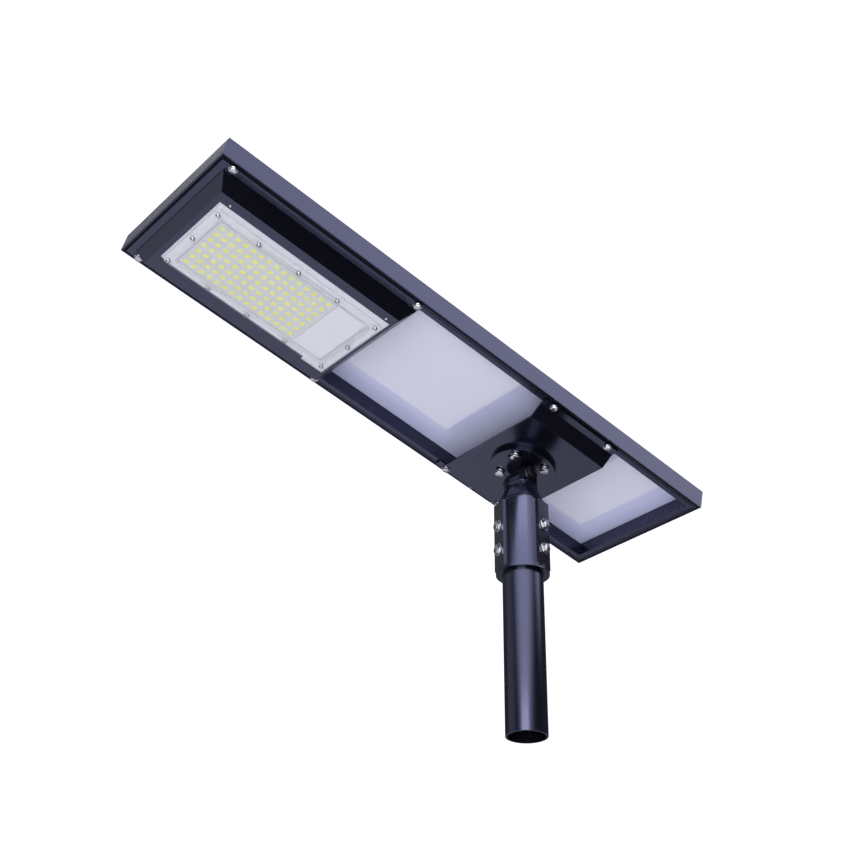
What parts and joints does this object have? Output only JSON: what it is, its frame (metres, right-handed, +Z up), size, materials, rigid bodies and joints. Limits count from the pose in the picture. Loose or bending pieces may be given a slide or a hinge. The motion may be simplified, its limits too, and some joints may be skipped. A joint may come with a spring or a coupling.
{
  "type": "solar street lamp",
  "caption": "Solar street lamp head: framed solar module with an LED tray under its raised end, on a bracket, tilting knuckle and clamp sleeve around a pole stub.",
  "frame": {"origin": "centre of the pole stub's lower end", "axes": "+Z up the pole, +Y across the module, -X towards the raised lamp end"},
  "size_m": [0.8954, 0.268, 0.6315],
  "materials": {
    "frame_aluminium": "black anodised, satin",
    "cast_key": "as cast",
    "back_sheet": "glossy white film",
    "solar_cells": "dark blue cells",
    "front_glass": "tempered, low iron",
    "sheet_coat": "black powder coat on pressed steel",
    "cast_coat": "black powder coat on a casting",
    "pole_coat": "black powder coat on steel tube",
    "heat_plate": "brushed, clear coated",
    "board_white": "white solder mask",
    "driver_cover": "matt light grey",
    "gasket_rubber": "soft silicone",
    "lens_clear": "clear moulded cover",
    "battery_wrap": "shrink wrap",
    "dark_case": "moulded case",
    "lead_black": "cable jacket",
    "lead_grey": "cable jacket",
    "lead_red": "cable jacket",
    "bright_steel": "bright zinc"
  },
  "bodies": {
    "pole": {"pole_tube": "pole_coat"},
    "fitter": {"pole_sleeve": "cast_coat", "set_screw_1": "bright_steel", "set_screw_2": "bright_steel", "set_screw_3": "bright_steel", "set_screw_4": "bright_steel", "set_screw_5": "bright_steel", "set_screw_6": "bright_steel", "pivot_bolt": "bright_steel", "pivot_nut": "bright_steel"},
    "knuckle": {"knuckle_flange": "cast_coat"},
    "head": {"frame_rail_near": "frame_aluminium", "frame_rail_far": "frame_aluminium", "frame_rail_lamp_end": "frame_aluminium", "frame_rail_tail_end": "frame_aluminium", "corner_key_1": "cast_key", "corner_key_2": "cast_key", "corner_key_3": "cast_key", "corner_key_4": "cast_key", "back_sheet": "back_sheet", "solar_cells": "solar_cells", "front_glass": "front_glass", "lamp_tray": "sheet_coat", "tray_bolt_1": "bright_steel", "tray_bolt_2": "bright_steel", "tray_bolt_3": "bright_steel", "tray_bolt_4": "bright_steel", "heat_plate": "heat_plate", "led_board": "board_white", "driver_cover": "driver_cover", "lens_gasket": "gasket_rubber", "lens_cover": "lens_clear", "lens_screw_01": "bright_steel", "lens_screw_02": "bright_steel", "lens_screw_03": "bright_steel", "lens_screw_04": "bright_steel", "lens_screw_05": "bright_steel", "lens_screw_06": "bright_steel", "lens_screw_07": "bright_steel", "lens_screw_08": "bright_steel", "lens_screw_09": "bright_steel", "lens_screw_10": "bright_steel", "lens_screw_11": "bright_steel", "lens_screw_12": "bright_steel", "battery_pack": "battery_wrap", "battery_strap": "bright_steel", "charge_controller": "dark_case", "junction_box": "dark_case", "panel_lead": "lead_black", "lamp_lead": "lead_grey", "battery_lead": "lead_red", "mounting_bracket": "sheet_coat", "bracket_bolt_1": "bright_steel", "bracket_bolt_2": "bright_steel", "bracket_bolt_3": "bright_steel", "bracket_bolt_4": "bright_steel", "flange_bolt_1": "bright_steel", "flange_bolt_2": "bright_steel", "flange_bolt_3": "bright_steel", "flange_bolt_4": "bright_steel"}
  },
  "joints": [
    {"name": "pole_swivel", "type": "hinge", "parent": "pole", "child": "fitter", "pos_m": [0, 0, 0.3], "axis": [0, 0, 1], "continuous": true},
    {"name": "head_tilt", "type": "hinge", "parent": "fitter", "child": "knuckle", "pos_m": [0, 0, 0.4022], "axis": [0, 1, 0], "range_deg": [-13.7, 26.3]},
    {"name": "head_turn", "type": "hinge", "parent": "knuckle", "child": "head", "pos_m": [0, 0, 0.4022], "axis": [0.2368, 0, 0.9715], "range_deg": [-12, 12]}
  ]
}
